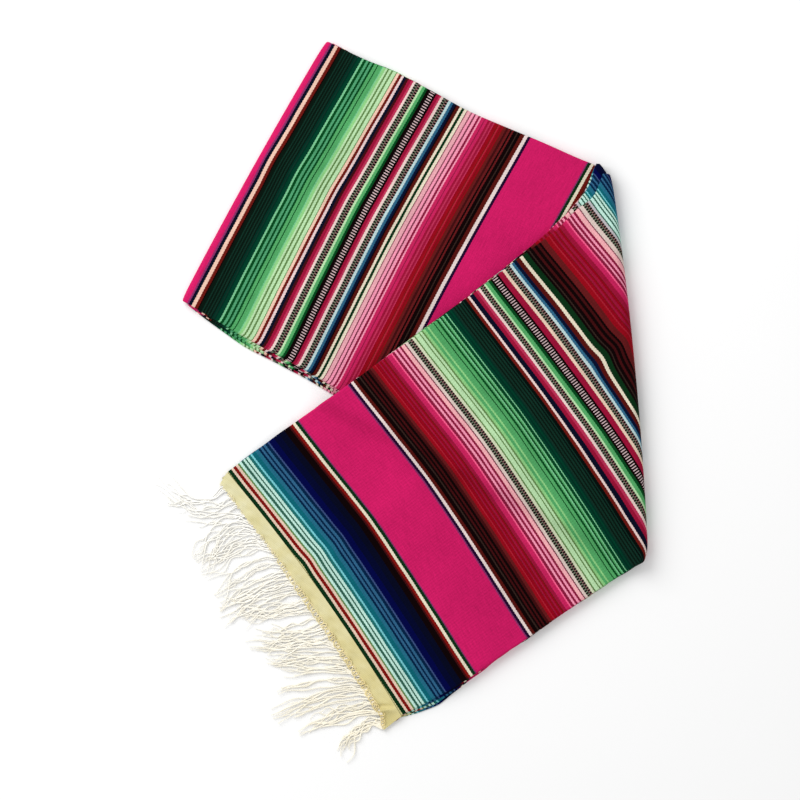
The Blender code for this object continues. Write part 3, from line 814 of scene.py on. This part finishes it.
# Hidden plies of the upper arm
# The rest of the strip under that ply, folded edges stacked and stepped. At the free end they thin out under
# the heading, and at the diagonal fold they nest inside the outermost ply.
HEADING_WIDTH = 22 * MM
HEADING_DROP = 3.2 * MM
UNDER_HEADING = (13, 11, 9, 6.5, 4)  # mm past the cloth, the slices of the plies under the heading
STRAIGHT_DOWN = -90


def heading_height(distance):
    return HEM_STACK - HEADING_DROP * smooth(distance, 0, HEADING_WIDTH)


def under_heading(distance):
    return past_hem(distance, lambda a: heading_height(distance) - SKIN - SEAM * 2, True)


upper_plies = woven_object(
    "upper_plies",
    [hidden_plies(under_heading(distance * MM), 0) for distance in UNDER_HEADING]
    + [hidden_plies(upper_flat(share), share) for share in ALONG]
    + [hidden_plies(upper_fold(angle), 1) for angle in FOLD_ANGLES[:-1] + [STRAIGHT_DOWN]],
    upper_lines, upper_stripes, "upper_layers",
)

# Heading
# The plain cream band woven in undyed cotton at the end of the cloth. It is slack and a little crumpled, and
# at its far corner it twists up before it ends.

# Share along the free end, then in mm: its width, how far its outer edge shifts along the end, and its lift
HEADING = (
    (0.0, 17, 6, 0),
    (0.15, 20, 2, 0.6),
    (0.3, 20, 0, 0),
    (0.45, 21, 0, 0.8),
    (0.6, 21, 0, 0),
    (0.75, 21, 0, 0.8),
    (0.86, 21, 0, 1.5),
    (0.92, 22, 0, 3),
    (0.97, 20, -5, 4),
    (1.0, 30, 1, 1),
)
HEADING_ROWS = 220
HEADING_COLUMNS = 16
HEM_ROLL = 0.02  # how far the outer edge rounds out, as a share of the band's width
FOLDS, DENTS = 0.6, 0.6  # mm
TWIST_RISE, TWIST_DIP, TWIST_REACH = 6, 3, 0.009  # the far corner's twist: mm, mm and a share of the end


def heading_row(share):
    """(inner edge, outer edge, lift) of the heading at a share of the free end."""
    shares, *columns = zip(*HEADING)
    width, shift, lift = (np.interp(share, shares, column) for column in columns)
    along = unit(upper.plan(0, 1) - upper.plan(0, 0))
    across = share * (1 - upper.steps(0)[1] / upper.width(0))
    hem = upper.plan(0, across) - upper.axis * SEAM * 2
    return hem - upper.axis * HEM_EDGE, hem - upper.axis * width * MM + along * shift * MM, lift * MM


def crumple(share, out):
    """Small uneven folds that run out to the heading's edge, and the twist at its far corner."""
    folds = math.sin(share * 47 + 1.4 * math.sin(share * 17))
    folds += 0.7 * math.sin(share * 113 + 2 * math.sin(share * 9))
    dents = math.sin(share * 61 + out * 5) * math.sin(out * 7 + share * 23)
    valley = swell(share, 0.93 + 0.035 * (1 - out), TWIST_REACH)
    ridge = swell(share, 0.955 + 0.02 * (1 - out), TWIST_REACH)
    twist = (TWIST_RISE * ridge - TWIST_DIP * valley) * out**0.7
    return (FOLDS * folds * out**1.4 + DENTS * dents * math.sin(out * math.pi) + twist) * MM


YELLOW_FROM, YELLOW_FULL = -0.1, -0.4  # along Y, down the hem
RIB_TURN = math.radians(-35.5)  # the ribs run along the hem


def cream_yarn(name, light, deep, beat, aged):
    """Undyed cotton, cloudy, yellower down the hem and ribbed, on Object coordinates."""
    nodes = Nodes(name)
    where = nodes.add("TexCoord").outputs["Object"]
    cloudy = nodes.noise(where, 55, 3)
    fine = nodes.noise(where, 900, 2)
    shade = nodes.plus(nodes.times(cloudy, 0.75), nodes.times(fine, 0.25))
    ramp = nodes.add("ValToRGB")
    for stop, position, code in zip(ramp.color_ramp.elements, (0.32, 0.66), (deep, light)):
        stop.position, stop.color = position, paint(code)
    nodes.link(shade, ramp.inputs[0])
    place_on = nodes.add("SeparateXYZ")
    nodes.link(where, place_on.inputs[0])
    yellowed = nodes.spread(place_on.outputs[1], YELLOW_FROM, YELLOW_FULL, 0.0, 1.0)
    colour = nodes.mix(yellowed, ramp.outputs[0], nodes.mix(1.0, ramp.outputs[0], paint(aged), "MULTIPLY"))
    nodes.link(colour, nodes.shader.inputs["Base Color"])
    turned = nodes.add("Mapping")
    fill(turned, Rotation=(0, 0, RIB_TURN))
    nodes.link(where, turned.inputs["Vector"])
    split = nodes.add("SeparateXYZ")
    nodes.link(turned.outputs[0], split.inputs[0])
    ribs = nodes.math("SINE", nodes.times(split.outputs[1], 2 * math.pi / beat))
    nodes.bump(nodes.plus(ribs, nodes.times(fine, 2.5)), strength=0.5, distance=0.12 * MM)
    fill(nodes.shader, Roughness=0.88, Sheen_Weight=0.05, Specular_IOR_Level=0.1)
    return nodes.material


body = bmesh.new()
rounds = []
for row in range(HEADING_ROWS + 1):
    share = row / HEADING_ROWS
    inner, outer, lift = heading_row(share)
    length = np.linalg.norm(outer - inner)
    front, flat = [], []
    for column in range(HEADING_COLUMNS + 1):
        out = column / HEADING_COLUMNS
        height = heading_height(out * length) + lift * out**2 + crumple(share, out)
        front.append(raised(inner + (outer - inner) * out, height))
        flat.append((out * length, 0))
    rolled = raised(outer + (outer - inner) * HEM_ROLL, front[-1][2] - PLY / 2)
    back = [point - np.array([0, 0, PLY]) for point in reversed(front)]
    flat = flat + [(length * (1 + HEM_ROLL), PLY / 2)] + [(reach, PLY) for reach, depth in reversed(flat)]
    rounds.append(([body.verts.new(tuple(point)) for point in front + [rolled] + back], flat))
for (first, _), (second, _) in zip(rounds, rounds[1:]):
    bridge(body, first, second)
close_end(body, *rounds[0])
close_end(body, *rounds[-1])
heading_cotton = cream_yarn("cream_heading_cotton", "#dcd8b4", "#cfc796", 1.9 * MM, "#f8f0d4")
heading_band = finished_object("heading_band", body, heading_cotton, "heading")

# Fringe
# The warp ends left long past the heading and knotted off, then let go in thin wavy locks of undyed cotton.
# They lie on the ground, crossing one another, and thin out towards their tips.
STRAND_RINGS = 20
STRAND_SIDES = 5
STRANDS_EACH = 1.75  # for one of the solid's
# What the strands are like, as a mean and the most that one differs from it
RADIUS, RADIUS_DIFFERS = 0.82, 0.2  # mm
WAVES, WAVES_DIFFER = 1.9, 1.1  # in its length
SWING, SWING_DIFFERS = 3.1, 2.2  # mm, of its waves
LONGEST, SHORTER = 1.02, 0.3  # of its lock's length
LOWEST, HIGHER = 0.9, 1.3  # mm, its middle over the ground
TIP_DIFFERS, BOW_DIFFERS, SPREAD_DIFFERS = 9, 5, 0.6  # mm, mm and a share
HOOK = 15  # mm, the most that a tip curls aside
TIP_SHARE = 0.5  # of the radius
THIN_FROM = 0.7  # the share of its length where a strand starts to thin
GROUND_GAP = 0.1 * MM
# Shares of the hem where a lock starts and ends, its tip, bow and spread in mm, and the solid's strands in it
Lock = namedtuple("Lock", "first last tip_x tip_y bow spread strands")
LOCKS = (
    Lock(0.01, 0.035, -310, -107, 17, 5, 3),
    Lock(0.06, 0.10, -296, -130, 10, 8, 4),
    Lock(0.125, 0.14, -275, -163, -1, 5, 2),
    Lock(0.155, 0.29, -256, -213, -13, 31, 13),
    Lock(0.30, 0.36, -234, -250, -8, 12, 6),
    Lock(0.372, 0.466, -230, -269, -4, 21, 10),
    Lock(0.478, 0.548, -206, -282, -3, 15, 8),
    Lock(0.56, 0.645, -186, -305, 3, 15, 8),
    Lock(0.66, 0.712, -195, -323, 0, 12, 6),
    Lock(0.725, 0.760, -168, -334, -2, 9, 5),
    Lock(0.780, 0.799, -150, -348, -5, 6, 3),
    Lock(0.808, 0.828, -155, -371, -4, 5, 3),
    Lock(0.84, 0.885, -164, -398, -7, 10, 6),
    Lock(0.895, 0.906, -114, -403, 0, 4, 2),
    Lock(0.928, 0.947, -128, -422, -6, 9, 4),
    Lock(0.956, 0.972, -79, -441, -6, 9, 3),
    Lock(0.980, 0.995, -77, -454, -14, 11, 3),
)
_, hem_points, hem_lifts = zip(*(heading_row(row / HEADING_ROWS) for row in range(HEADING_ROWS + 1)))
hem_lengths = np.cumsum([0] + [np.linalg.norm(b - a) for a, b in zip(hem_points, hem_points[1:])])


def hem_point(share):
    spots = hem_lengths / hem_lengths[-1]
    x, y = (np.interp(share, spots, [point[k] for point in hem_points]) for k in (0, 1))
    return np.array([x, y]), float(np.interp(share, spots, hem_lifts))


def chance(number, trait):
    """A fixed number from -1 to 1 for each trait of each strand or knot."""
    value = math.sin(number * 12.9898 + trait * 78.233) * 43758.5453
    return 2 * (value - math.floor(value)) - 1


def strand_path(number, lock, index, count):
    """Points of one strand from the hem to its tip. No two lie, wave or curl alike."""
    middle, _ = hem_point((lock.first + lock.last) / 2)
    run = np.array([lock.tip_x, lock.tip_y]) * MM - middle
    side = unit(np.array([-run[1], run[0]]))
    place_in_lock = index / max(count - 1, 1)
    root, lift = hem_point(lock.first + (lock.last - lock.first) * place_in_lock)
    spread = (place_in_lock - 0.5) * lock.spread * MM * (1 + SPREAD_DIFFERS * chance(number, 1))
    reach = LONGEST - SHORTER * abs(chance(number, 2)) ** 1.5
    tip = middle + run * reach + side * (spread + TIP_DIFFERS * MM * chance(number, 3))
    start = HEM_STACK - HEADING_DROP - PLY / 2 + lift
    level = (LOWEST + HIGHER * abs(chance(number, 9))) * MM
    waves, phase = WAVES + WAVES_DIFFER * chance(number, 4), 3 * chance(number, 6)
    swing = (SWING + SWING_DIFFERS * chance(number, 5)) * MM
    hook = HOOK * MM * chance(number, 8) ** 3
    bowed = (lock.bow + BOW_DIFFERS * chance(number, 10)) * MM
    points = []
    for k in range(STRAND_RINGS + 1):
        u = k / STRAND_RINGS
        curl = swing * u**0.7 * math.sin(2 * math.pi * waves * u + phase)
        curl += 0.25 * swing * math.sin(19 * u + phase * 2)
        aside = (bowed * math.sin(math.pi * u**0.8) + curl + hook * smooth(u, 0.6, 1)) * smooth(u, 0, 0.15)
        height = start + (level - start) * smooth(u, 0, 0.2) + 0.5 * MM * (1 + math.sin(13 * u + phase)) * u
        points.append(raised(root + (tip - root) * u + side * aside, height))
    return points


def add_tube(body, points, radius, tip_share):
    """A closed thin tube through the points, which thins towards its end and stays over the ground."""
    last = None
    for k, point in enumerate(points):
        along = unit(points[min(k + 1, len(points) - 1)] - points[max(k - 1, 0)])
        aside = unit(np.cross((0, 0, 1), along))
        up = np.cross(along, aside)
        narrow = 1 - (1 - tip_share) * smooth(k / (len(points) - 1), THIN_FROM, 1)
        ring = []
        for corner in range(STRAND_SIDES):
            turn = 2 * math.pi * corner / STRAND_SIDES
            spot = point + radius * narrow * (aside * math.cos(turn) + up * math.sin(turn))
            ring.append(body.verts.new((spot[0], spot[1], max(spot[2], GROUND_GAP))))
        if last is None:
            body.faces.new(ring[::-1])
        else:
            bridge(body, last, ring)
        last = ring
    body.faces.new(last)


body = bmesh.new()
number = 0
for lock in LOCKS:
    count = round(lock.strands * STRANDS_EACH)
    for index in range(count):
        number += 1
        radius = (RADIUS + RADIUS_DIFFERS * chance(number, 7)) * MM
        add_tube(body, strand_path(number, lock, index, count), radius, TIP_SHARE)
fringe_cotton = cream_yarn("ivory_fringe_cotton", "#fffefb", "#f3f1ea", 0.5 * MM, "#fffaec")
fringe_strands = finished_object("fringe_strands", body, fringe_cotton, "fringe")

# Knots along the hem
# Small loops and half-hitches that tie off the warp, slack and yellowed. They are large along the lower part
# of the hem and small at its upper end.
KNOT_PITCH = 4.6 * MM
KNOT_RINGS = 12
KNOT_TURNS = 1.12  # a loop passes its own start
KNOT_TURN, KNOT_TURN_DIFFERS = 36, 50  # degrees
KNOT_END = 0.8
body = bmesh.new()
for number in range(int(hem_lengths[-1] / KNOT_PITCH)):
    share = (number + 0.5 + 0.3 * chance(number, 31)) * KNOT_PITCH / hem_lengths[-1]
    spot, lift = hem_point(share)
    full = smooth(share, 0.2, 0.5) * (1 - 0.6 * smooth(share, 0.9, 1))
    long = (1.6 + 2.5 * full + 0.9 * chance(number, 32)) * MM
    wide = (1.2 + 1.6 * full + 0.6 * chance(number, 33)) * MM
    turn = math.radians(KNOT_TURN + KNOT_TURN_DIFFERS * chance(number, 34))
    lean = 0.5 * chance(number, 35)
    middle = spot - (0.2 + 2.0 * full) * MM * upper.axis
    level = HEM_STACK - HEADING_DROP + lift + (0.25 + 0.35 * full) * MM
    points = []
    for k in range(KNOT_RINGS + 1):
        angle = 2 * math.pi * k / KNOT_RINGS * KNOT_TURNS
        a, b = long * math.cos(angle), wide * math.sin(angle)
        x = a * math.cos(turn) - b * math.sin(turn)
        y = a * math.sin(turn) + b * math.cos(turn)
        height = level + lean * a * 0.6 + 0.3 * MM * math.cos(angle)
        points.append(raised(middle + np.array([x, y]), height))
    add_tube(body, points, (0.5 + 0.15 * full) * MM, KNOT_END)
knot_cotton = cream_yarn("yellowed_knot_cotton", "#f4ecc8", "#e4d8a8", 0.5 * MM, "#fdf4dc")
hem_knots = finished_object("hem_knots", body, knot_cotton, None)

# Ground
# A plain pale board, wide enough that its edge never shows.
# It is painted matt and lies just under the cloth.
BOARD_SIZE = 8.0
BOARD_LEVEL = -0.3 * MM
bpy.ops.object.select_all(action="DESELECT")
bpy.ops.mesh.primitive_plane_add(size=BOARD_SIZE, location=(0, 0, BOARD_LEVEL))
board = bpy.context.object
board.name = "pale_board"
bpy.ops.object.transform_apply(location=True, rotation=True, scale=True)
board_paint = Nodes("pale_board_paint")
fill(board_paint.shader, Base_Color=(0.9, 0.9, 0.9, 1), Roughness=0.95, Specular_IOR_Level=0.0)
board.data.materials.append(board_paint.material)

# Light and camera
# A white sky and one broad soft lamp from the upper left. The camera looks straight down, with the top of the
# photograph towards +Y.
world = bpy.data.worlds.new("white_sky")
bpy.context.scene.world = world
world.use_nodes = True
fill(world.node_tree.nodes["Background"], Color=(1, 1, 1, 1), Strength=0.78)

lamp_data = bpy.data.lights.new("soft_lamp", "AREA")
lamp_data.shape = "DISK"
lamp_data.size = 2.4
lamp_data.energy = 60
lamp = bpy.data.objects.new("soft_lamp", lamp_data)
lamp.location = (-1.6, 1.5, 1.9)
lamp.rotation_euler = (Vector((0, 0, 0)) - lamp.location).to_track_quat("-Z", "Y").to_euler()
bpy.context.scene.collection.objects.link(lamp)

CAMERA_HEIGHT = 5.0
VIEW_WIDTH = 800 * 1.267 * MM  # the photograph's pixels, and the mm of ground in one
FACE_HEIGHT = 12 * MM
SENSOR = 36
camera_data = bpy.data.cameras.new("photo_camera")
camera_data.sensor_width = SENSOR
camera_data.lens = SENSOR * (CAMERA_HEIGHT - FACE_HEIGHT) / VIEW_WIDTH
camera = bpy.data.objects.new("photo_camera", camera_data)
camera.location = (0, -1.3 * MM, CAMERA_HEIGHT)
bpy.context.scene.collection.objects.link(camera)
bpy.context.scene.camera = camera
bpy.context.scene.view_settings.view_transform = "Standard"
